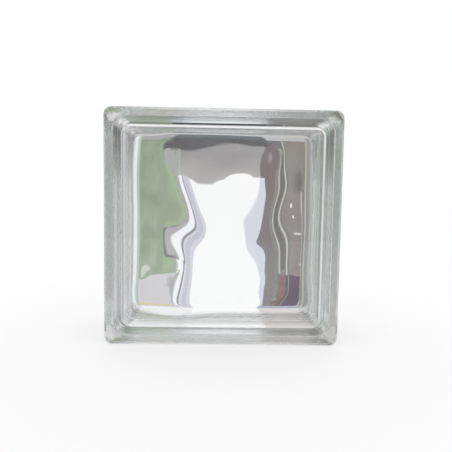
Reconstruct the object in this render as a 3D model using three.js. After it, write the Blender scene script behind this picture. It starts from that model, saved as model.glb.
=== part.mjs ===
import * as THREE from 'three';
import { mergeVertices } from 'three/addons/utils/BufferGeometryUtils.js';

// Hollow wave-pattern glass block: two square dishes of pressed glass, fused rim to rim.
// Each dish is a pane with a wall all round it. The outside of the wall is a mortar groove between
// the two face flanges, and the inside of the pane carries the wave relief.
// Millimetres, +Z up. The origin is the middle of the underside and the front pane faces -Y.

// Block
const BLOCK_WIDTH = 190;
const BLOCK_HEIGHT = 190;
const BLOCK_DEPTH = 80;
const CORNER_RADIUS = 6.5; // corners of the face, seen from the front
const EDGE_RADIUS = 2.5; // rounding from the face to the side of the flange

// Flange and mortar groove
const FLANGE_THICKNESS = 10.5; // from the face to where the groove starts
const GROOVE_DEPTH = 5.5;
const GROOVE_BEVEL = 5; // length of the sloped flank, along the block's depth
const GROOVE_CORNER_RADIUS = 11;

// Fused seam, half of it on each dish
const BEAD_WIDTH = 4;
const OUTER_BEAD_HEIGHT = 1.2;
const INNER_BEAD_HEIGHT = 0.8;

// Pane, wall and cavity
const PANE_THICKNESS = 8;
const WALL_THICKNESS = 5.5; // beside the seam bead
const WALL_DRAFT = 2; // degrees that the cavity narrows towards the pane
const CAVITY_FILLET = 6; // between the wall and the pane
const CAVITY_CORNER_RADIUS = 8;

// Wave relief: broad swells that run into each other, and one hollow, whose height is negative.
// x and z are a swell's middle, seen from the front. Its width runs along X and its length along Z,
// both turned by its bearing, in degrees.
const RELIEF_MARGIN = 10; // the relief dies out over this width inside the fillet
const RELIEF_SWELLS = [
  { x: -21, z: 28, height: -1.9, width: 11.5, length: 36.5, bearing: 36 },
  { x: -28, z: 36, height: 2.5, width: 19, length: 14, bearing: -32 },
  { x: -42, z: 61, height: 0.9, width: 8, length: 11.5, bearing: 16 },
  { x: -39, z: -42, height: 1.25, width: 14.5, length: 37, bearing: -9 },
  { x: 14, z: -31, height: 0.42, width: 10.5, length: 52.5, bearing: -48 },
  { x: 51, z: -6, height: 0.42, width: 9.5, length: 39.5, bearing: 0 },
  { x: 3.5, z: 61, height: 0.42, width: 31.5, length: 9.5, bearing: -16 },
  { x: 12.5, z: -55, height: 0.75, width: 48.5, length: 7.5, bearing: -2 },
];

// Fineness of the facets
const CORNER_STEPS = 6; // per corner, an even number
const SIDE_STEPS = 24;
const EDGE_STEPS = 3;
const BEAD_STEPS = 3;
const FILLET_STEPS = 5;
const SMALLEST_CORNER = 0.5;

const HALF_DEPTH = BLOCK_DEPTH / 2;
const RIM_INSET = GROOVE_DEPTH + WALL_THICKNESS;
const FILLET_START = PANE_THICKNESS + CAVITY_FILLET;
const CAVITY_INSET = RIM_INSET
  + (HALF_DEPTH - FILLET_START) * Math.tan(THREE.MathUtils.degToRad(WALL_DRAFT));
const PANE_INSET = CAVITY_INSET + CAVITY_FILLET;

/**
 * One station of a dish's section.
 * inset is how far the outline lies inside the block's sides, and depth how far it lies behind the
 * face; corner is the radius of the outline's corners.
 */
function station(inset, depth, corner) {
  return { inset, depth, corner: Math.max(corner, SMALLEST_CORNER) };
}

/** Stations along a quarter turn, given by a function of the turn's sine and cosine. */
function quarterTurn(steps, stationAt) {
  return Array.from({ length: steps + 1 }, (_, step) => {
    const angle = (Math.PI / 2) * (step / steps);
    return stationAt(Math.sin(angle), Math.cos(angle));
  });
}

/** Rounded edge of the face, from the face to the side of the flange. */
function faceEdge() {
  return quarterTurn(EDGE_STEPS, (sine, cosine) => {
    const inset = EDGE_RADIUS * (1 - sine);
    return station(inset, EDGE_RADIUS * (1 - cosine), CORNER_RADIUS - inset);
  });
}

/** Side of the flange and the sloped flank down to the bottom of the mortar groove. */
function flangeBack() {
  return [
    station(0, FLANGE_THICKNESS, CORNER_RADIUS),
    station(GROOVE_DEPTH, FLANGE_THICKNESS + GROOVE_BEVEL, GROOVE_CORNER_RADIUS),
  ];
}

/** Half of the bead of glass that the fusing squeezes out of the seam into the groove. */
function outerBead() {
  return quarterTurn(BEAD_STEPS, (sine, cosine) => station(
    GROOVE_DEPTH - OUTER_BEAD_HEIGHT * sine,
    HALF_DEPTH - (BEAD_WIDTH / 2) * cosine,
    GROOVE_CORNER_RADIUS,
  ));
}

/** Half of the bead inside the cavity, from the seam on to the wall. */
function innerBead() {
  return quarterTurn(BEAD_STEPS, (sine, cosine) => station(
    RIM_INSET + INNER_BEAD_HEIGHT * cosine,
    HALF_DEPTH - (BEAD_WIDTH / 2) * sine,
    CAVITY_CORNER_RADIUS,
  ));
}

/** Fillet from the drafted wall to the pane. */
function cavityFillet() {
  return quarterTurn(FILLET_STEPS, (sine, cosine) => station(
    CAVITY_INSET + CAVITY_FILLET * (1 - cosine),
    PANE_THICKNESS + CAVITY_FILLET * (1 - sine),
    CAVITY_CORNER_RADIUS - CAVITY_FILLET * (1 - cosine),
  ));
}

/**
 * Points of a station's outline, a rectangle with round corners, in the plane of the pane.
 * They run from the middle of the lower left corner, so that each side of the outline has
 * CORNER_STEPS + SIDE_STEPS steps.
 */
function outline({ inset, corner }) {
  const reachX = BLOCK_WIDTH / 2 - inset - corner;
  const reachZ = BLOCK_HEIGHT / 2 - inset - corner;
  const centres = [[-reachX, -reachZ], [reachX, -reachZ], [reachX, reachZ], [-reachX, reachZ]];
  const arcs = centres.map(([x, z], turn) => {
    const start = Math.PI + turn * (Math.PI / 2);
    return new THREE.EllipseCurve(x, z, corner, corner, start, start + Math.PI / 2);
  });
  const points = arcs.flatMap((arc, turn) => {
    const side = new THREE.LineCurve(arc.getPoint(1), arcs[(turn + 1) % 4].getPoint(0));
    return [...arc.getPoints(CORNER_STEPS), ...side.getPoints(SIDE_STEPS).slice(1, -1)];
  });
  const halfCorner = CORNER_STEPS / 2;
  return [...points.slice(halfCorner), ...points.slice(0, halfCorner)];
}

/** Distance in from the edge of the flat inside of the pane. */
function distanceInside(x, z) {
  const corner = Math.max(CAVITY_CORNER_RADIUS - CAVITY_FILLET, SMALLEST_CORNER);
  const overX = Math.abs(x) - (BLOCK_WIDTH / 2 - PANE_INSET - corner);
  const overZ = Math.abs(z) - (BLOCK_HEIGHT / 2 - PANE_INSET - corner);
  const past = Math.hypot(Math.max(overX, 0), Math.max(overZ, 0));
  return corner - past - Math.min(Math.max(overX, overZ), 0);
}

/** Height of the wave relief above the pane's plain inside at a point of the pane. */
function relief(x, z) {
  const swells = RELIEF_SWELLS.map((swell) => {
    const angle = THREE.MathUtils.degToRad(swell.bearing);
    const along = (x - swell.x) * Math.cos(angle) + (z - swell.z) * Math.sin(angle);
    const across = (z - swell.z) * Math.cos(angle) - (x - swell.x) * Math.sin(angle);
    const far = (along / swell.width) ** 2 + (across / swell.length) ** 2;
    return swell.height * Math.exp(-far / 2);
  });
  const sum = swells.reduce((total, swell) => total + swell, 0);
  return sum * THREE.MathUtils.smoothstep(distanceInside(x, z), 0, RELIEF_MARGIN);
}

/** Point of the patch that four sides of an outline span, for the step i across and j up. */
function patchPoint(ring, count, i, j) {
  const u = i / count;
  const v = j / count;
  const lower = ring[i];
  const upper = ring[3 * count - i];
  const left = ring[(4 * count - j) % (4 * count)];
  const right = ring[count + j];
  const blend = (axis) => {
    const corners = (1 - u) * ((1 - v) * ring[0][axis] + v * ring[3 * count][axis])
      + u * ((1 - v) * ring[count][axis] + v * ring[2 * count][axis]);
    return (1 - v) * lower[axis] + v * upper[axis] + (1 - u) * left[axis] + u * right[axis] - corners;
  };
  return new THREE.Vector2(blend('x'), blend('y'));
}

/** Collects the triangles of one closed dish. The pane lies in X and Z, and depth runs along +Y. */
class DishSurface {
  constructor() {
    this.positions = [];
  }

  vertex(point, depth) {
    return [point.x, depth - HALF_DEPTH, point.y];
  }

  triangle(a, b, c) {
    this.positions.push(...a, ...b, ...c);
  }

  quad(a, b, c, d) {
    this.triangle(a, b, c);
    this.triangle(a, c, d);
  }

  /** Flat face, closed to its middle. */
  addFace({ depth, ...first }) {
    const ring = outline(first);
    const middle = this.vertex(new THREE.Vector2(0, 0), depth);
    ring.forEach((point, k) => {
      const next = ring[(k + 1) % ring.length];
      this.triangle(middle, this.vertex(point, depth), this.vertex(next, depth));
    });
  }

  /** Skin between the outlines of two stations that follow each other. */
  addBand(from, to) {
    const near = outline(from).map((point) => this.vertex(point, from.depth));
    const far = outline(to).map((point) => this.vertex(point, to.depth));
    near.forEach((point, k) => {
      const next = (k + 1) % near.length;
      this.quad(point, far[k], far[next], near[next]);
    });
  }

  /** Inside of the pane, with the wave relief. */
  addWavyPane({ depth, ...last }) {
    const count = CORNER_STEPS + SIDE_STEPS;
    const ring = outline(last);
    const at = (i, j) => {
      const point = patchPoint(ring, count, i, j);
      const onEdge = i === 0 || j === 0 || i === count || j === count;
      return this.vertex(point, onEdge ? depth : depth + relief(point.x, point.y));
    };
    for (let i = 0; i < count; i += 1) {
      for (let j = 0; j < count; j += 1) {
        this.quad(at(i, j), at(i, j + 1), at(i + 1, j + 1), at(i + 1, j));
      }
    }
  }

  geometry() {
    const soup = new THREE.BufferGeometry();
    soup.setAttribute('position', new THREE.Float32BufferAttribute(this.positions, 3));
    const merged = mergeVertices(soup, 1e-4);
    merged.computeVertexNormals();
    return merged;
  }
}

/** One pressed dish, open towards +Y, with its fused rim in the plane Y = 0. */
function pressedDish() {
  const section = [
    ...faceEdge(),
    ...flangeBack(),
    ...outerBead(),
    ...innerBead(),
    ...cavityFillet(),
  ];
  const surface = new DishSurface();
  surface.addFace(section[0]);
  section.slice(1).forEach((to, k) => surface.addBand(section[k], to));
  surface.addWavyPane(section[section.length - 1]);
  return surface.geometry();
}

/** Clear soda-lime glass with the faint green of its iron. */
function clearGlass() {
  return new THREE.MeshStandardMaterial({
    color: 0xdcebe4,
    roughness: 0.04,
    metalness: 0,
    transparent: true,
    opacity: 0.35,
  });
}

const dish = pressedDish();

const frontHalf = new THREE.Mesh(dish, clearGlass());
frontHalf.name = 'front_half';

const rearHalf = new THREE.Mesh(dish, clearGlass());
rearHalf.name = 'rear_half';
rearHalf.rotation.z = Math.PI;

const glassBlock = new THREE.Group();
glassBlock.name = 'glass_block';
glassBlock.position.z = BLOCK_HEIGHT / 2;
glassBlock.add(frontHalf, rearHalf);

const model = new THREE.Group();
model.add(glassBlock);

export default model;
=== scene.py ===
"""Hollow wave-pattern glass block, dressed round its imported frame.

The block is two pressed dishes of clear soda-lime glass, fused rim to rim. It is made here as one
body of glass with its sealed air cell, so that light crosses the seam as it does in the real one.
Lengths on the dataclasses are in millimetres in the block's own frame: X is its width, the front
pane faces -Y, and Z rises from its underside.
"""

import logging
import math
from dataclasses import dataclass
from enum import Enum

import bmesh
import bpy
from bmesh.types import BMEdge, BMesh, BMVert
from mathutils import Matrix, Vector

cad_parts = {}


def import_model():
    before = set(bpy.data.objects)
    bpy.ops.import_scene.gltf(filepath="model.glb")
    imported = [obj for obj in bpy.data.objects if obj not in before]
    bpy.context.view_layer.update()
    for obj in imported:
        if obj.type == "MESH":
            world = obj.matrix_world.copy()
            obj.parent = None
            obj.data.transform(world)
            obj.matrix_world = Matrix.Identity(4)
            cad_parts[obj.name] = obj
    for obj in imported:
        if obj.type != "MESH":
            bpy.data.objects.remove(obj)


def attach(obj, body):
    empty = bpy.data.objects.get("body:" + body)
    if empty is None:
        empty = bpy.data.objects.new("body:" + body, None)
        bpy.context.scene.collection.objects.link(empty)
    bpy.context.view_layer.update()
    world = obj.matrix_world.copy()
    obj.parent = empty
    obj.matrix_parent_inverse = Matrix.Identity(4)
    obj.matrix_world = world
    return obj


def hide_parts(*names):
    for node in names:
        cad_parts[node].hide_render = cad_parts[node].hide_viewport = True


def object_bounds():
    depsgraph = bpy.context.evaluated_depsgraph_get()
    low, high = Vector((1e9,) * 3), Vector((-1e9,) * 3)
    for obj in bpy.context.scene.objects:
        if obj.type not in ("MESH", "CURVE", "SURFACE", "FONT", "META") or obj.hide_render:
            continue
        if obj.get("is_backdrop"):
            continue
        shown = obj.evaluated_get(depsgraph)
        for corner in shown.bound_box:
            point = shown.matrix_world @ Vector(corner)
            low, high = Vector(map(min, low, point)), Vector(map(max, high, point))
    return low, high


MM = 0.001
LOG = logging.getLogger("glass_block")


def linear(hex_colour: str) -> tuple[float, float, float, float]:
    """Turns an sRGB hex colour into linear light.

    Args:
        hex_colour: Six hex digits with a leading #.

    Returns:
        Red, green and blue in linear light, and an alpha of 1.
    """
    channels = (int(hex_colour[k : k + 2], 16) / 255 for k in (1, 3, 5))
    red, green, blue = (
        c / 12.92 if c <= 0.04045 else ((c + 0.055) / 1.055) ** 2.4 for c in channels
    )
    return red, green, blue, 1.0


def add_node(
    tree: bpy.types.NodeTree,
    kind: str,
    settings: dict[str, object] | None = None,
    **links: bpy.types.NodeSocket,
) -> bpy.types.Node:
    """Adds a node with its settings and links.

    Args:
        tree: Node tree that gets the node.
        kind: Node type, such as ShaderNodeBsdfPrincipled.
        settings: Values by name, of a socket where the node has one of that name, and otherwise
            of the node itself.
        **links: Output sockets by the name of the input that they feed, with _ for each space.

    Returns:
        The new node.
    """
    node = tree.nodes.new(kind)
    for name, value in (settings or {}).items():
        if name in node.inputs:
            node.inputs[name].default_value = value
        else:
            setattr(node, name, value)
    for name, output in links.items():
        tree.links.new(output, node.inputs[name.replace("_", " ")])
    return node


@dataclass(frozen=True)
class PressedGlass:
    """Clear soda-lime glass, pressed in a mould and fire-polished.

    The panes come out almost perfectly smooth, with sharp refraction. The sides keep the marks of
    the plunger, fine draw lines all round the block that blur and streak whatever shows through
    them, and the iron in the sand tints long paths through the glass green.
    """

    middle_height: float
    pane_reach: float
    cell_reach: float
    face_depth: float
    slot: str = "clear_glass"
    ior: float = 1.52
    inner_roughness: float = 0.04
    outer_roughness: float = 0.24
    draw_line_pitch: float = 3.6
    draw_line_length: float = 60.0
    draw_line_depth: float = 0.2
    ripple_pitch: float = 5.0
    ripple_depth: float = 0.25
    path_tint: str = "#c6dada"
    absorption_per_metre: float = 3.8

    def build(self) -> bpy.types.Material:
        """Makes the material."""
        material = bpy.data.materials.new("pressed_soda_lime_glass")
        material.use_nodes = True
        tree = material.node_tree
        tree.nodes.clear()
        place = add_node(tree, "ShaderNodeTexCoord").outputs["Object"]
        sides = self.add_side_mask(tree, place)
        roughness = self.add_roughness(tree, place, sides)
        surface = add_node(
            tree,
            "ShaderNodeBsdfPrincipled",
            {"Base Color": (1.0, 1.0, 1.0, 1.0), "IOR": self.ior, "Transmission Weight": 1.0},
            Roughness=roughness,
            Normal=self.add_draw_lines(tree, place, sides),
        )
        volume = add_node(
            tree,
            "ShaderNodeVolumeAbsorption",
            {"Color": linear(self.path_tint), "Density": self.absorption_per_metre},
        )
        add_node(
            tree,
            "ShaderNodeOutputMaterial",
            Surface=surface.outputs["BSDF"],
            Volume=volume.outputs["Volume"],
        )
        return material

    def add_distances(
        self, tree: bpy.types.NodeTree, place: bpy.types.NodeSocket
    ) -> tuple[bpy.types.NodeSocket, ...]:
        """Adds the distances from the block's middle: across it, up it and back through it."""
        parts = add_node(tree, "ShaderNodeSeparateXYZ", Vector=place).outputs
        from_middle = add_node(tree, "ShaderNodeMath", {"operation": "SUBTRACT"})
        tree.links.new(parts["Z"], from_middle.inputs[0])
        from_middle.inputs[1].default_value = self.middle_height * MM
        signed = (parts["X"], from_middle.outputs["Value"], parts["Y"])
        return tuple(self.add_math(tree, "ABSOLUTE", socket) for socket in signed)

    def add_ramp(
        self,
        tree: bpy.types.NodeTree,
        value: bpy.types.NodeSocket,
        span: tuple[float, float],
        top: float = 1.0,
    ) -> bpy.types.NodeSocket:
        """Adds an ease from 0 to the top value over a span in millimetres."""
        low, high = span
        return add_node(
            tree,
            "ShaderNodeMapRange",
            {
                "interpolation_type": "SMOOTHSTEP",
                "From Min": low * MM,
                "From Max": high * MM,
                "To Max": top,
            },
            Value=value,
        ).outputs["Result"]

    def add_side_mask(
        self, tree: bpy.types.NodeTree, place: bpy.types.NodeSocket
    ) -> bpy.types.NodeSocket:
        """Adds a mask that is 1 on the flanges, the groove and the walls, and 0 on the panes."""
        across, up, back = self.add_distances(tree, place)
        out = self.add_math(tree, "MAXIMUM", across, up)
        beside = self.add_ramp(tree, out, (self.pane_reach, self.pane_reach + 4))
        behind = self.add_ramp(tree, back, (self.face_depth, self.face_depth - 2.5))
        return self.add_math(tree, "MULTIPLY", beside, behind)

    def add_roughness(
        self,
        tree: bpy.types.NodeTree,
        place: bpy.types.NodeSocket,
        sides: bpy.types.NodeSocket,
    ) -> bpy.types.NodeSocket:
        """Adds the roughness: none on the panes, little in the cell, most on the outside."""
        extra = self.outer_roughness - self.inner_roughness
        outside = self.add_scaled(tree, self.add_outside_mask(tree, place), extra)
        total = add_node(tree, "ShaderNodeMath", {"operation": "ADD"})
        tree.links.new(outside, total.inputs[0])
        total.inputs[1].default_value = self.inner_roughness
        return self.add_math(tree, "MULTIPLY", total.outputs["Value"], sides)

    def add_outside_mask(
        self, tree: bpy.types.NodeTree, place: bpy.types.NodeSocket
    ) -> bpy.types.NodeSocket:
        """Adds a mask that is 1 on the skin outside the cell's walls, and 0 within them."""
        across, up, _ = self.add_distances(tree, place)
        out = self.add_math(tree, "MAXIMUM", across, up)
        return self.add_ramp(tree, out, (self.cell_reach + 1, self.cell_reach + 4))

    def add_scaled(
        self, tree: bpy.types.NodeTree, value: bpy.types.NodeSocket, scale: float
    ) -> bpy.types.NodeSocket:
        """Adds a Math node that multiplies a socket by a number."""
        node = add_node(tree, "ShaderNodeMath", {"operation": "MULTIPLY"})
        tree.links.new(value, node.inputs[0])
        node.inputs[1].default_value = scale
        return node.outputs["Value"]

    def add_math(
        self, tree: bpy.types.NodeTree, operation: str, *values: bpy.types.NodeSocket
    ) -> bpy.types.NodeSocket:
        """Adds a Math node fed by the given sockets."""
        node = add_node(tree, "ShaderNodeMath", {"operation": operation})
        for socket, value in zip(node.inputs, values):
            tree.links.new(value, socket)
        return node.outputs["Value"]

    def add_draw_lines(
        self,
        tree: bpy.types.NodeTree,
        place: bpy.types.NodeSocket,
        sides: bpy.types.NodeSocket,
    ) -> bpy.types.NodeSocket:
        """Adds the draw lines: ridges a few millimetres apart that run on round the block."""
        along = 1 / (self.draw_line_length * MM)
        across = 1 / (self.draw_line_pitch * MM)
        stretch = add_node(
            tree, "ShaderNodeMapping", {"Scale": (along, across, along)}, Vector=place
        ).outputs["Vector"]
        lines = add_node(
            tree,
            "ShaderNodeTexNoise",
            {"Scale": 1.0, "Detail": 3.0, "Roughness": 0.55},
            Vector=stretch,
        ).outputs["Fac"]
        scale = self.draw_line_depth * MM
        height = self.add_scaled(tree, self.add_math(tree, "MULTIPLY", lines, sides), scale)
        ripples = add_node(
            tree,
            "ShaderNodeTexNoise",
            {"Scale": 1 / (self.ripple_pitch * MM), "Detail": 1.0},
            Vector=place,
        ).outputs["Fac"]
        outside = self.add_math(tree, "MULTIPLY", self.add_outside_mask(tree, place), sides)
        ripple = self.add_math(tree, "MULTIPLY", ripples, outside)
        height = self.add_math(tree, "ADD", height, self.add_scaled(tree, ripple, self.ripple_depth * MM))
        return add_node(
            tree,
            "ShaderNodeBump",
            {"Strength": 1.0, "Distance": 1.0},
            Height=height,
        ).outputs["Normal"]


@dataclass(frozen=True)
class Swell:
    """One swell of the wave relief, long or round, or a hollow where its height is negative.

    Its width runs along X and its length along Z, both turned by the bearing, in degrees.
    """

    x: float
    z: float
    height: float
    width: float
    length: float
    bearing: float = 0.0

    def rise(self, x: float, z: float) -> float:
        """Height that this swell adds at a point of the pane."""
        angle = math.radians(self.bearing)
        along = (x - self.x) * math.cos(angle) + (z - self.z) * math.sin(angle)
        across = (z - self.z) * math.cos(angle) - (x - self.x) * math.sin(angle)
        far = (along / self.width) ** 2 + (across / self.length) ** 2
        return self.height * math.exp(-far / 2)


@dataclass(frozen=True)
class Station:
    """A place on the section, with the outline that the skin has there.

    Its inset is the distance in from the block's sides, its depth the distance back from the face,
    and its corner the radius of the outline's corners.
    """

    inset: float
    depth: float
    corner: float


def quarter_turn(steps: int) -> list[tuple[float, float]]:
    """Sine and cosine at even steps of a quarter turn, both ends included."""
    angles = (math.pi / 2 * k / steps for k in range(steps + 1))
    return [(math.sin(angle), math.cos(angle)) for angle in angles]


def smooth_step(value: float, low: float, high: float) -> float:
    """Eases from 0 at low to 1 at high."""
    t = min(max((value - low) / (high - low), 0.0), 1.0)
    return t * t * (3 - 2 * t)


@dataclass
class FusedBlock:
    """The block as one body of glass: an outer skin and the skin of its sealed air cell."""

    width: float
    height: float
    depth: float
    corner_radius: float = 6.5
    edge_radius: float = 2.5
    flange_thickness: float = 10.5
    flange_arris: float = 0.8
    groove_depth: float = 5.5
    groove_bevel: float = 5.0
    groove_fillet: float = 1.6
    groove_corner_radius: float = 11.0
    bead_width: float = 4.0
    outer_bead_height: float = 1.2
    inner_bead_height: float = 0.8
    pane_thickness: float = 8.0
    wall_thickness: float = 5.5
    wall_draft: float = 2.0
    cavity_fillet: float = 6.0
    cavity_corner_radius: float = 8.0
    relief_margin: float = 10.0
    relief_pitch: float = 1.6
    swells: tuple[Swell, ...] = (
        Swell(-21.0, 28.0, -1.9, 11.5, 36.5, 36.0),
        Swell(-28.0, 36.0, 2.5, 19.0, 14.0, -32.0),
        Swell(-42.0, 61.0, 0.9, 8.0, 11.5, 16.0),
        Swell(-39.0, -42.0, 1.25, 14.5, 37.0, -9.0),
        Swell(14.0, -31.0, 0.42, 10.5, 52.5, -48.0),
        Swell(51.0, -6.0, 0.42, 9.5, 39.5),
        Swell(3.5, 61.0, 0.42, 31.5, 9.5, -16.0),
        Swell(12.5, -55.0, 0.75, 48.5, 7.5, -2.0),
    )
    arc_segments: int = 10
    bead_steps: int = 6

    @property
    def half_depth(self) -> float:
        """Distance from the seam to a face."""
        return self.depth / 2

    @property
    def rim_inset(self) -> float:
        """How far the cell's skin lies inside the block's sides, at the seam."""
        return self.groove_depth + self.wall_thickness

    @property
    def cavity_inset(self) -> float:
        """How far the cell's skin lies inside the block's sides, where its fillet starts."""
        run = self.half_depth - self.pane_thickness - self.cavity_fillet
        return self.rim_inset + run * math.tan(math.radians(self.wall_draft))

    @property
    def pane_inset(self) -> float:
        """How far the flat inside of a pane lies inside the block's sides."""
        return self.cavity_inset + self.cavity_fillet

    def section(self) -> list[Station]:
        """Stations of the outer skin, from the edge of the front face to the seam."""
        edge = []
        for sine, cosine in quarter_turn(self.arc_segments):
            inset = self.edge_radius * (1 - sine)
            depth = self.edge_radius * (1 - cosine)
            edge.append(Station(inset, depth, self.corner_radius - inset))
        foot = self.flange_thickness + self.groove_bevel
        flange = [
            Station(0.0, self.flange_thickness, self.corner_radius),
            Station(self.groove_depth, foot, self.groove_corner_radius),
        ]
        bead = [
            Station(
                self.groove_depth - self.outer_bead_height * sine,
                self.half_depth - self.bead_width / 2 * cosine,
                self.groove_corner_radius,
            )
            for sine, cosine in quarter_turn(self.bead_steps)
        ]
        return edge + flange + bead

    def carry(self, mesh: BMesh, ring: list[BMEdge], start: Station, end: Station) -> list[BMEdge]:
        """Extrudes a closed ring of edges from one station of the section to the next."""
        made = bmesh.ops.extrude_edge_only(mesh, edges=ring)["geom"]
        for vert in (item for item in made if isinstance(item, BMVert)):
            for axis, size in ((0, self.width), (2, self.height)):
                centre = size / 2 - start.inset - start.corner
                out = (abs(vert.co[axis]) - centre) / start.corner
                reach = size / 2 - end.inset - end.corner + out * end.corner
                vert.co[axis] = math.copysign(reach, vert.co[axis])
            vert.co.y += end.depth - start.depth
        return [item for item in made if isinstance(item, BMEdge)]

    def outer_skin(self, mesh: BMesh) -> None:
        """Carries the face's rounded outline along the section, back to the rear face."""
        front = self.section()
        rear = [Station(s.inset, self.depth - s.depth, s.corner) for s in reversed(front[:-1])]
        stations = front + rear
        first = stations[0]
        upright = Matrix(((1, 0, 0, 0), (0, 0, -1, 0), (0, 1, 0, 0), (0, 0, 0, 1)))
        bmesh.ops.create_grid(mesh, x_segments=1, y_segments=1, size=0.5, matrix=upright)
        width = self.width - 2 * first.inset
        height = self.height - 2 * first.inset
        bmesh.ops.scale(mesh, vec=(width, 1, height), verts=mesh.verts)
        bmesh.ops.bevel(
            mesh,
            geom=mesh.verts[:] + mesh.edges[:],
            offset=first.corner,
            offset_type="OFFSET",
            segments=self.arc_segments,
            profile=0.5,
            affect="VERTICES",
            material=-1,
        )
        ring = mesh.edges[:]
        for start, end in zip(stations, stations[1:]):
            ring = self.carry(mesh, ring, start, end)
        bmesh.ops.edgenet_fill(mesh, edges=ring)
        bmesh.ops.translate(mesh, vec=(0, -self.half_depth, 0), verts=mesh.verts)
        bmesh.ops.recalc_face_normals(mesh, faces=mesh.faces)
        self.soften(mesh, self.flange_thickness, self.flange_arris)
        self.soften(mesh, self.flange_thickness + self.groove_bevel, self.groove_fillet)

    def soften(self, mesh: BMesh, depth: float, radius: float) -> None:
        """Rounds the two rings of edges, front and rear, that lie at one station.

        Args:
            mesh: Outer skin, with the seam at Y = 0.
            depth: Distance of the ring from its face.
            radius: How far the rounding reaches along each side of the edge.
        """
        ring_y = self.half_depth - depth
        ring = [
            edge
            for edge in mesh.edges
            if all(abs(abs(vert.co.y) - ring_y) < 0.01 for vert in edge.verts)
            and edge.verts[0].co.y * edge.verts[1].co.y > 0
        ]
        bmesh.ops.bevel(
            mesh,
            geom=ring,
            offset=radius,
            offset_type="OFFSET",
            segments=4,
            profile=0.5,
            affect="EDGES",
            material=-1,
        )

    def cell_skin(self, mesh: BMesh) -> None:
        """Shapes the air cell from a box: corners, fillets, draft, seam bead and wave relief."""
        bmesh.ops.create_cube(mesh, size=1.0)
        width = self.width - 2 * self.cavity_inset
        height = self.height - 2 * self.cavity_inset
        depth = self.depth - 2 * self.pane_thickness
        bmesh.ops.scale(mesh, vec=(width, depth, height), verts=mesh.verts)
        uprights = [e for e in mesh.edges if abs(e.verts[0].co.y - e.verts[1].co.y) > 1]
        self.round_edges(mesh, uprights, self.cavity_corner_radius)
        rims = [e for e in mesh.edges if abs(e.verts[0].co.y - e.verts[1].co.y) < 0.01]
        self.round_edges(mesh, rims, self.cavity_fillet)
        self.cut_rings(mesh)
        self.cut_grid(mesh)
        self.draft_and_bead(mesh)
        self.raise_relief(mesh)
        bmesh.ops.recalc_face_normals(mesh, faces=mesh.faces)
        bmesh.ops.reverse_faces(mesh, faces=mesh.faces)

    def round_edges(self, mesh: BMesh, edges: list[BMEdge], radius: float) -> None:
        """Rolls a fillet along edges of the air cell."""
        bmesh.ops.bevel(
            mesh,
            geom=edges,
            offset=radius,
            offset_type="OFFSET",
            segments=self.arc_segments,
            profile=0.5,
            affect="EDGES",
            material=-1,
        )

    def cut(self, mesh: BMesh, place: Vector, normal: Vector) -> None:
        """Cuts new edges round the whole skin along a plane."""
        everything = mesh.verts[:] + mesh.edges[:] + mesh.faces[:]
        bmesh.ops.bisect_plane(
            mesh, geom=everything, dist=1e-3, plane_co=place, plane_no=normal
        )

    def cut_rings(self, mesh: BMesh) -> None:
        """Cuts the rings of the wall that the seam bead and the draft need."""
        reach = self.bead_width / 2
        for step in range(-self.bead_steps, self.bead_steps + 1):
            y = reach * math.sin(math.pi / 2 * step / self.bead_steps)
            self.cut(mesh, Vector((0, y, 0)), Vector((0, 1, 0)))

    def cut_grid(self, mesh: BMesh) -> None:
        """Cuts the fine grid that carries the wave relief."""
        for axis, size in ((Vector((1, 0, 0)), self.width), (Vector((0, 0, 1)), self.height)):
            reach = size / 2 - self.pane_inset
            count = round(2 * reach / self.relief_pitch)
            for step in range(1, count):
                place = axis * (2 * reach * step / count - reach)
                self.cut(mesh, place, axis)

    def draft_and_bead(self, mesh: BMesh) -> None:
        """Widens the cell towards the seam by the wall's draft, and leaves the bead there."""
        slope = math.tan(math.radians(self.wall_draft))
        wall_end = self.half_depth - self.pane_thickness - self.cavity_fillet
        reach = self.bead_width / 2
        for vert in mesh.verts:
            y = abs(vert.co.y)
            if y > wall_end + 1e-3:
                continue
            widen = (wall_end - y) * slope
            bead = self.inner_bead_height * math.sqrt(max(1 - (y / reach) ** 2, 0.0))
            half_width = self.width / 2 - self.cavity_inset
            half_height = self.height / 2 - self.cavity_inset
            vert.co.x *= 1 + (widen - bead) / half_width
            vert.co.z *= 1 + (widen - bead) / half_height

    def distance_inside(self, x: float, z: float) -> float:
        """Distance in from the edge of the flat inside of a pane."""
        corner = self.cavity_corner_radius - self.cavity_fillet
        over_x = abs(x) - (self.width / 2 - self.pane_inset - corner)
        over_z = abs(z) - (self.height / 2 - self.pane_inset - corner)
        past = math.hypot(max(over_x, 0.0), max(over_z, 0.0))
        return corner - past - min(max(over_x, over_z), 0.0)

    def relief(self, x: float, z: float) -> float:
        """Height of the wave relief on the front pane, above its plain inside."""
        total = sum(swell.rise(x, z) for swell in self.swells)
        return total * smooth_step(self.distance_inside(x, z), 0.0, self.relief_margin)

    def raise_relief(self, mesh: BMesh) -> None:
        """Raises the waves on both panes. The rear dish is the front one turned half round."""
        inside = self.half_depth - self.pane_thickness
        for vert in mesh.verts:
            if abs(vert.co.y) < inside - 1e-3:
                continue
            if vert.co.y < 0:
                vert.co.y += self.relief(vert.co.x, vert.co.z)
            else:
                vert.co.y -= self.relief(-vert.co.x, vert.co.z)

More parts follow.
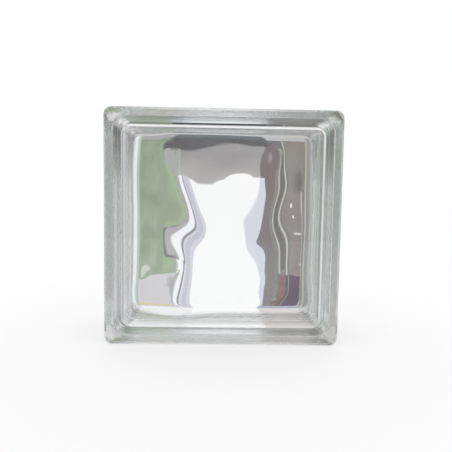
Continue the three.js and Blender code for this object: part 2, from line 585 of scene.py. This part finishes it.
    def build(self, glass: bpy.types.Material) -> bpy.types.Object:
        """Makes the block's object, at its real place in the frame."""
        outer = bmesh.new()
        self.outer_skin(outer)
        cell = bmesh.new()
        self.cell_skin(cell)
        data = bpy.data.meshes.new("glass_block")
        cell.to_mesh(data)
        outer.from_mesh(data)
        cell.free()
        bmesh.ops.translate(outer, vec=(0, 0, self.height / 2), verts=outer.verts)
        bmesh.ops.scale(outer, vec=(MM, MM, MM), verts=outer.verts)
        for face in outer.faces:
            face.smooth = True
        outer.to_mesh(data)
        outer.free()
        data.materials.append(glass)
        block = bpy.data.objects.new("glass_block", data)
        bpy.context.scene.collection.objects.link(block)
        weighted = block.modifiers.new("true_flats", "WEIGHTED_NORMAL")
        weighted.mode = "FACE_AREA"
        weighted.weight = 80
        return block


class Wall(Enum):
    """The side of the studio that a card hangs on."""

    BACK = "back"
    LEFT = "left"
    RIGHT = "right"
    FRONT = "front"
    TOP = "top"
    PIT = "pit"


@dataclass(frozen=True)
class Card:
    """A flat studio card that only the glass sees.

    The studio is a box round the block. A card's spans are measured from the line through the
    block's middle: across it, and up it or, on the top and the pit, back along it.
    """

    name: str
    colour: str
    wall: Wall
    across: tuple[float, float]
    up: tuple[float, float]
    nearer: float = 0.0
    lower_colour: str = ""
    fade: float = 0.0
    mottle: float = 0.0
    rounded: bool = False
    only_reflected: bool = False


@dataclass(frozen=True)
class Studio:
    """Pale floor, white world, and the cards that give clear glass something to show."""

    middle_height: float
    reach: float = 900.0
    floor_reach: float = 4000.0
    # Share of plain white glow in the floor: painted light that lifts the block's shadow.
    floor_glow: float = 0.6
    cards: tuple[Card, ...] = (
        # Behind the block, from left to right.
        Card("back_far_left", "#e8ecee", Wall.BACK, (-900, -540), (-900, 900)),
        Card("back_left", "#bcc2ba", Wall.BACK, (-560, -330), (-900, 900), 1, fade=20),
        Card("back_left_line", "#98989f", Wall.BACK, (-345, -318), (-900, 900), 3),
        Card("back_sage", "#808b73", Wall.BACK, (-320, -131), (-900, 330), 1, "#b6c8ae", mottle=0.2),
        Card("back_sage_edge", "#8d9d81", Wall.BACK, (-158, -124), (-236, 170), 1.5, fade=15),
        Card("back_leaf_edge", "#9bb18b", Wall.BACK, (-138, -130), (-236, 110), 1.7, fade=4),
        Card("back_pale", "#c6ccc6", Wall.BACK, (-226, -166), (-238, -188), 1.6, fade=8, rounded=True),
        Card("back_low_left", "#cfcdd0", Wall.BACK, (-320, -129), (-900, -236.5), 3.5, fade=2),
        Card("back_grey_rib", "#a2a5a2", Wall.BACK, (-134, -126), (-164, 140), 3, fade=1.5),
        Card("back_grey_foot", "#a2a3a2", Wall.BACK, (-132.8, -128), (-222, -160), 3.1, fade=1),
        Card("back_grey_heel", "#a2a3a2", Wall.BACK, (-130.2, -128), (-900, -220), 3.2, fade=0.8),
        Card("back_grey_toe", "#a2a3a2", Wall.BACK, (-134, -128), (-900, -236), 3.25),
        Card("back_grey_knee", "#aeaaad", Wall.BACK, (-133.5, -128), (-162, -73), 3.3, fade=1.2),
        Card("back_dark_knee", "#6a6c70", Wall.BACK, (-135.4, -131.6), (-162, -73), 4, fade=1.2),
        Card("back_dark_sole", "#6a6c70", Wall.BACK, (-134.8, -129.5), (-168, -158), 4.1, fade=2),
        Card("back_white_rib", "#f6f8ff", Wall.BACK, (-129, -119), (-900, 74), 5, fade=1.5),
        Card("back_dark_rib", "#80848f", Wall.BACK, (-122, -118), (-190, 74), 7, fade=1.5),
        Card("back_dark_foot", "#80848f", Wall.BACK, (-124.4, -120), (-900, -174), 7.1, fade=1.5),
        Card("back_lavender_left", "#d3d3de", Wall.BACK, (-126, -90), (-900, 74), 4),
        Card("back_lavender_shade", "#c2c2ce", Wall.BACK, (-118, -105), (-900, 74), 4.5, fade=4),
        Card("back_white_foot", "#f6f8ff", Wall.BACK, (-131.8, -125), (-224, -172), 5.2, fade=1.8),
        Card("back_white", "#ffffff", Wall.BACK, (-98, 128), (-900, 75.5), 6, fade=3),
        Card("back_white_swell", "#ffffff", Wall.BACK, (-125, 35), (-38.5, 78.5), 3.5, fade=3, rounded=True),
        Card("back_white_rise", "#ffffff", Wall.BACK, (-16, 136), (-52, 92), 3.6, fade=5, rounded=True),
        Card("back_warm_grey", "#8c8889", Wall.BACK, (-130, 131), (64, 148), 3, "#b3b0af", 4, 0.07),
        Card("back_charcoal", "#2e2c30", Wall.BACK, (-139, 140), (136, 300), 8, "#423f44", 8, 0.3),
        Card("back_charcoal_end", "#5e5c60", Wall.BACK, (128, 182), (158, 300), 9, fade=10, mottle=0.2),
        Card("back_lavender_right", "#d6d8e2", Wall.BACK, (118, 135), (-900, 74), 4),
        Card("back_brown", "#5c484b", Wall.BACK, (120, 156), (-900, 300), 2.5, "#8f9292", mottle=0.14),
        Card("back_olive", "#7a786f", Wall.BACK, (150, 190), (-900, 300), 4, fade=4, mottle=0.06),
        Card("back_gap", "#5c5855", Wall.BACK, (166.5, 180), (-200, 130), 4.5, fade=3),
        Card("back_line_a", "#c0c0b8", Wall.BACK, (162.5, 166.5), (-215, 300), 6, fade=1),
        Card("back_line_b", "#c0c0b8", Wall.BACK, (180, 184.5), (-215, 300), 6, fade=1),
        Card("back_line_c", "#6f6f6a", Wall.BACK, (185.5, 189), (-215, 300), 7, fade=1),
        Card("back_grey_right", "#827a77", Wall.BACK, (187, 238), (-900, 300), 3, mottle=0.08),
        Card("back_grey_smudge", "#625e5b", Wall.BACK, (192, 248), (20, 108), 3.5, fade=22, mottle=0.2, rounded=True),
        Card("back_mauve", "#4a2f4c", Wall.BACK, (186, 232), (-900, -214), 5, fade=2, mottle=0.1),
        Card("back_rust", "#7a585c", Wall.BACK, (158, 182), (-900, -216), 5.5, fade=5, mottle=0.2),
        Card("back_dark_post", "#38423f", Wall.BACK, (178, 186), (-900, -217), 6.6, fade=1.5),
        Card("back_post_edge", "#a8a09c", Wall.BACK, (185.4, 187.4), (-900, -217), 6.7, fade=0.6),
        Card("back_line_d", "#c8c4bc", Wall.BACK, (230, 236), (-900, 36), 6, fade=1.5),
        Card("back_line_e", "#5a5652", Wall.BACK, (236, 239), (-900, 60), 6.5, fade=1),
        Card("back_glint_a", "#ffffff", Wall.BACK, (201.5, 206), (-15, 0), 9, fade=1.5),
        Card("back_glint_b", "#ffffff", Wall.BACK, (203.5, 207.5), (-44, -36), 9, fade=1.5),
        Card("back_glint_c", "#d2d2d2", Wall.BACK, (198, 226), (-86, -77), 9, fade=3),
        Card("back_glint_d", "#d8d8d8", Wall.BACK, (222, 240), (-179, -173), 9, fade=2),
        Card("back_beige", "#807a73", Wall.BACK, (234, 330), (-900, 300), 2, "#78736c", mottle=0.1),
        Card("back_right", "#b4b0ae", Wall.BACK, (330, 450), (-900, 900)),
        Card("back_far_right", "#8c8b8a", Wall.BACK, (450, 900), (-900, 900)),
        Card("back_low_ochre", "#d8c890", Wall.BACK, (-330, -133), (-520, -366), 9),
        Card("back_low", "#a7acb7", Wall.BACK, (126, 330), (-900, -370), 9),
        Card("back_top_left", "#a6a4a7", Wall.BACK, (-330, -136), (300, 900), 1),
        Card("back_top", "#6c7076", Wall.BACK, (-136, 140), (300, 900), 1, "#4c5055"),
        Card("back_top_right", "#bcbbbc", Wall.BACK, (140, 330), (300, 900), 1),
        # Round the sides.
        Card("left_far", "#f4f6fa", Wall.LEFT, (450, 900), (-900, 900)),
        Card("left_middle", "#bcbec4", Wall.LEFT, (0, 450), (-900, 900)),
        Card("left_near", "#a8adb1", Wall.LEFT, (-450, 0), (-900, 900)),
        Card("left_front", "#d4d4d6", Wall.LEFT, (-900, -450), (-900, 900)),
        Card("right_far", "#a8a8a8", Wall.RIGHT, (450, 900), (-900, 900)),
        Card("right_middle", "#ccced0", Wall.RIGHT, (0, 450), (-900, 900)),
        Card("right_near", "#e2e4e6", Wall.RIGHT, (-450, 0), (-900, 900)),
        Card("right_front", "#dadbdc", Wall.RIGHT, (-900, -450), (-900, 900)),
        Card("front_side", "#f2f4f4", Wall.FRONT, (-900, 900), (-900, 900)),
        Card("front_shade", "#a2a29e", Wall.FRONT, (-900, 900), (-100, 900), 4, only_reflected=True),
        Card("overhead_back", "#cfccc8", Wall.TOP, (-900, 900), (300, 900)),
        Card("overhead", "#ffffff", Wall.TOP, (-900, 900), (-200, 300)),
        Card("overhead_front", "#ffffff", Wall.TOP, (-900, 900), (-900, -200)),
        Card("underfoot", "#9094a0", Wall.PIT, (-900, 900), (-900, 900)),
        # Just below the block's underside, what the glass sees beneath it: white in the middle, greys towards the
        # sides that are painted shade under the block's edges, and a beige strip under the front edge.
        Card("table", "#ffffff", Wall.PIT, (-30, 38), (-40, 60), 804),
        Card("table_mid_left_shade", "#f0f2f2", Wall.PIT, (-80, -30), (-40, 60), 804),
        Card("table_mid_right_shade", "#dcd7d5", Wall.PIT, (38, 80), (-40, 60), 804),
        Card("table_left_shade", "#d6d7d8", Wall.PIT, (-115, -80), (-150, 60), 804),
        Card("table_right_shade", "#c6c5c2", Wall.PIT, (80, 115), (-150, 60), 804),
        Card("table_edge", "#ded0c0", Wall.PIT, (-80, 80), (-60, -40), 804),
        Card("table_front", "#ffffff", Wall.PIT, (-80, 80), (-150, -60), 804),
    )

    def build(self) -> None:
        """Makes the whole studio."""
        for card in self.cards:
            self.hang(card)
        self.lay_floor()
        self.light_world()

    def sheet(self, name: str, size_x: float, size_y: float, place: Matrix) -> bpy.types.Object:
        """Makes a flat sheet and marks it as stage."""
        mesh = bmesh.new()
        bmesh.ops.create_grid(mesh, x_segments=1, y_segments=1, size=0.5)
        bmesh.ops.scale(mesh, vec=(size_x, size_y, 1), verts=mesh.verts)
        bmesh.ops.transform(mesh, matrix=place, verts=mesh.verts)
        bmesh.ops.scale(mesh, vec=(MM, MM, MM), verts=mesh.verts)
        data = bpy.data.meshes.new(name)
        mesh.to_mesh(data)
        mesh.free()
        sheet = bpy.data.objects.new(name, data)
        bpy.context.scene.collection.objects.link(sheet)
        sheet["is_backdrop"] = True
        return sheet

    def hang(self, card: Card) -> None:
        """Makes one card and hangs it on its wall."""
        reach = self.reach - card.nearer
        across = sum(card.across) / 2
        up = sum(card.up) / 2
        flat = Matrix.Identity(3)
        turn, place = {
            Wall.BACK: (Matrix.Rotation(math.pi / 2, 3, "X"), (across, reach, up)),
            Wall.FRONT: (Matrix.Rotation(math.pi / 2, 3, "X"), (across, -reach, up)),
            Wall.LEFT: (self.side_turn(), (-reach, across, up)),
            Wall.RIGHT: (self.side_turn(), (reach, across, up)),
            Wall.TOP: (flat, (across, up, reach)),
            Wall.PIT: (flat, (across, up, -reach)),
        }[card.wall]
        lift = Vector((0, 0, self.middle_height))
        matrix = Matrix.Translation(Vector(place) + lift) @ turn.to_4x4()
        size_x = card.across[1] - card.across[0]
        size_y = card.up[1] - card.up[0]
        sheet = self.sheet(card.name, size_x, size_y, matrix)
        sheet.visible_camera = False
        sheet.visible_diffuse = False
        sheet.visible_shadow = False
        sheet.visible_transmission = not card.only_reflected
        sheet.data.materials.append(self.card_material(card))

    def card_material(self, card: Card) -> bpy.types.Material:
        """Makes a card's glow, which may shade off downwards, be mottled and have soft edges."""
        material = bpy.data.materials.new(card.name)
        material.use_nodes = True
        tree = material.node_tree
        tree.nodes.clear()
        place = add_node(tree, "ShaderNodeTexCoord").outputs["Object"]
        glow = add_node(tree, "ShaderNodeEmission", {"Color": linear(card.colour)})
        if card.lower_colour or card.mottle:
            tree.links.new(self.add_shades(tree, place, card), glow.inputs["Color"])
        surface = glow.outputs["Emission"]
        if card.fade:
            clear = add_node(tree, "ShaderNodeBsdfTransparent").outputs["BSDF"]
            mix = add_node(tree, "ShaderNodeMixShader")
            tree.links.new(self.add_fade(tree, place, card), mix.inputs[0])
            tree.links.new(clear, mix.inputs[1])
            tree.links.new(surface, mix.inputs[2])
            surface = mix.outputs["Shader"]
        add_node(tree, "ShaderNodeOutputMaterial", Surface=surface)
        return material

    def add_shades(
        self, tree: bpy.types.NodeTree, place: bpy.types.NodeSocket, card: Card
    ) -> bpy.types.NodeSocket:
        """Adds a card's colours: from its lower one at its foot to its own at the top, mottled."""
        height = add_node(tree, "ShaderNodeSeparateXYZ", Vector=place).outputs["Z"]
        low, high = ((up + self.middle_height) * MM for up in card.up)
        share = add_node(
            tree, "ShaderNodeMapRange", {"From Min": low, "From Max": high}, Value=height
        ).outputs["Result"]
        colours = add_node(tree, "ShaderNodeMix", {"data_type": "RGBA"})
        colours.inputs[6].default_value = linear(card.lower_colour or card.colour)
        colours.inputs[7].default_value = linear(card.colour)
        tree.links.new(share, colours.inputs[0])
        if not card.mottle:
            return colours.outputs[2]
        clouds = add_node(
            tree, "ShaderNodeTexNoise", {"Scale": 14.0, "Detail": 3.0}, Vector=place
        ).outputs["Fac"]
        value = add_node(
            tree,
            "ShaderNodeMapRange",
            {
                "From Min": 0.3,
                "From Max": 0.7,
                "To Min": 1 - card.mottle,
                "To Max": 1 + card.mottle,
            },
            Value=clouds,
        ).outputs["Result"]
        shaded = add_node(tree, "ShaderNodeHueSaturation")
        tree.links.new(colours.outputs[2], shaded.inputs["Color"])
        tree.links.new(value, shaded.inputs["Value"])
        return shaded.outputs["Color"]

    def add_fade(
        self, tree: bpy.types.NodeTree, place: bpy.types.NodeSocket, card: Card
    ) -> bpy.types.NodeSocket:
        """Adds a mask for a card on the back or the front: 1 inside, easing to 0 at its edges."""
        half = [(span[1] - span[0]) / 2 * MM for span in (card.across, card.up)]
        centre = [sum(card.across) / 2 * MM, (sum(card.up) / 2 + self.middle_height) * MM]
        scale = (1 / half[0], 0.0, 1 / half[1])
        shift = (-centre[0] / half[0], 0.0, -centre[1] / half[1])
        settings = {"Location": shift, "Scale": scale}
        spot = add_node(tree, "ShaderNodeMapping", settings, Vector=place).outputs["Vector"]
        if card.rounded:
            far = add_node(tree, "ShaderNodeVectorMath", {"operation": "LENGTH"})
            tree.links.new(spot, far.inputs[0])
            return self.add_ease(tree, far.outputs["Value"], card.fade * MM / min(half))
        parts = add_node(tree, "ShaderNodeSeparateXYZ", Vector=spot).outputs
        both = add_node(tree, "ShaderNodeMath", {"operation": "MULTIPLY"})
        for socket, name, size in zip(both.inputs, "XZ", half):
            far = add_node(tree, "ShaderNodeMath", {"operation": "ABSOLUTE"})
            tree.links.new(parts[name], far.inputs[0])
            ease = self.add_ease(tree, far.outputs["Value"], card.fade * MM / size)
            tree.links.new(ease, socket)
        return both.outputs["Value"]

    def add_ease(
        self, tree: bpy.types.NodeTree, far: bpy.types.NodeSocket, share: float
    ) -> bpy.types.NodeSocket:
        """Adds an ease from 0 at a distance of 1 to 1 where that share of the way in is done."""
        settings = {"interpolation_type": "SMOOTHSTEP", "From Min": 1.0, "From Max": 1 - share}
        return add_node(tree, "ShaderNodeMapRange", settings, Value=far).outputs["Result"]

    def side_turn(self) -> Matrix:
        """Turn that stands a sheet up along a side wall: its own X along Y, and its Y up."""
        return Matrix(((0, 0, 1), (1, 0, 0), (0, 1, 0)))

    def floor_material(self) -> bpy.types.Material:
        """White matt studio paper with a plain white glow mixed in, painted light that keeps the block's shadow
        faint.
        """
        material = bpy.data.materials.new("white_matt_paper_with_glow")
        material.use_nodes = True
        tree = material.node_tree
        tree.nodes.clear()
        matt = add_node(tree, "ShaderNodeBsdfDiffuse", {"Color": (1.0, 1.0, 1.0, 1.0)})
        # Painted light: a plain white glow that fills in the block's shadow on the floor.
        glow = add_node(tree, "ShaderNodeEmission", {"Color": linear("#ffffff")})
        mix = add_node(tree, "ShaderNodeMixShader", {"Fac": self.floor_glow})
        tree.links.new(matt.outputs["BSDF"], mix.inputs[1])
        tree.links.new(glow.outputs["Emission"], mix.inputs[2])
        add_node(tree, "ShaderNodeOutputMaterial", Surface=mix.outputs["Shader"])
        return material

    def lay_floor(self) -> None:
        """Lays the floor that the camera sees. What the glass sees below it is cards."""
        reach = self.floor_reach
        floor = self.sheet("floor", 2 * reach, 2 * reach, Matrix.Identity(4))
        floor.data.materials.append(self.floor_material())
        floor.visible_transmission = False
        floor.visible_glossy = False

    def light_world(self) -> None:
        """Makes the plain white world that lights the floor and backs every view."""
        world = bpy.data.worlds.new("white_studio")
        world.use_nodes = True
        tree = world.node_tree
        tree.nodes.clear()
        light = add_node(tree, "ShaderNodeBackground", {"Color": (1, 1, 1, 1), "Strength": 1.0})
        add_node(tree, "ShaderNodeOutputWorld", Surface=light.outputs["Background"])
        bpy.context.scene.world = world


def build_camera() -> None:
    """Puts the camera where the block is seen from a little left, above and close by."""
    data = bpy.data.cameras.new("camera")
    data.sensor_width = 36.0
    data.lens = 34.4
    data.clip_start = 0.01
    camera = bpy.data.objects.new("camera", data)
    yaw, pitch, roll = (math.radians(a) for a in (1.21, -4.17, 0.93))
    forward = Vector((math.sin(yaw) * math.cos(pitch), math.cos(yaw) * math.cos(pitch), math.sin(pitch)))
    right = Vector((math.cos(yaw), -math.sin(yaw), 0))
    up = right.cross(forward)
    right_rolled = right * math.cos(roll) + up * math.sin(roll)
    up_rolled = up * math.cos(roll) - right * math.sin(roll)
    turn = Matrix((right_rolled, up_rolled, -forward)).transposed()
    camera.matrix_world = Matrix.Translation(Vector((-4.9, -40 - 343.3, 95 + 27.4)) * MM) @ turn.to_4x4()
    bpy.context.scene.collection.objects.link(camera)
    bpy.context.scene.camera = camera


def main() -> None:
    """Builds the block and its studio, and reports each piece."""
    logging.basicConfig(level=logging.INFO, format="%(name)s: %(message)s")
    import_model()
    cad_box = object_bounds()
    low, high = cad_box
    size = (high - low) / MM
    scene = bpy.context.scene
    scene.view_settings.view_transform = "Standard"
    scene.cycles.max_bounces = 32
    scene.cycles.transmission_bounces = 32
    scene.cycles.glossy_bounces = 16

    build_camera()
    Studio(middle_height=size.z / 2).build()

    shape = FusedBlock(width=size.x, depth=size.y, height=size.z)
    glass = PressedGlass(
        middle_height=size.z / 2,
        pane_reach=size.x / 2 - shape.pane_inset,
        cell_reach=size.x / 2 - shape.rim_inset,
        face_depth=size.y / 2,
    )
    block = shape.build(glass.build())
    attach(block, "root")
    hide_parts("front_half", "rear_half")
    LOG.info("%s: %d faces", block.name, len(block.data.polygons))


if __name__ == "__main__":
    main()
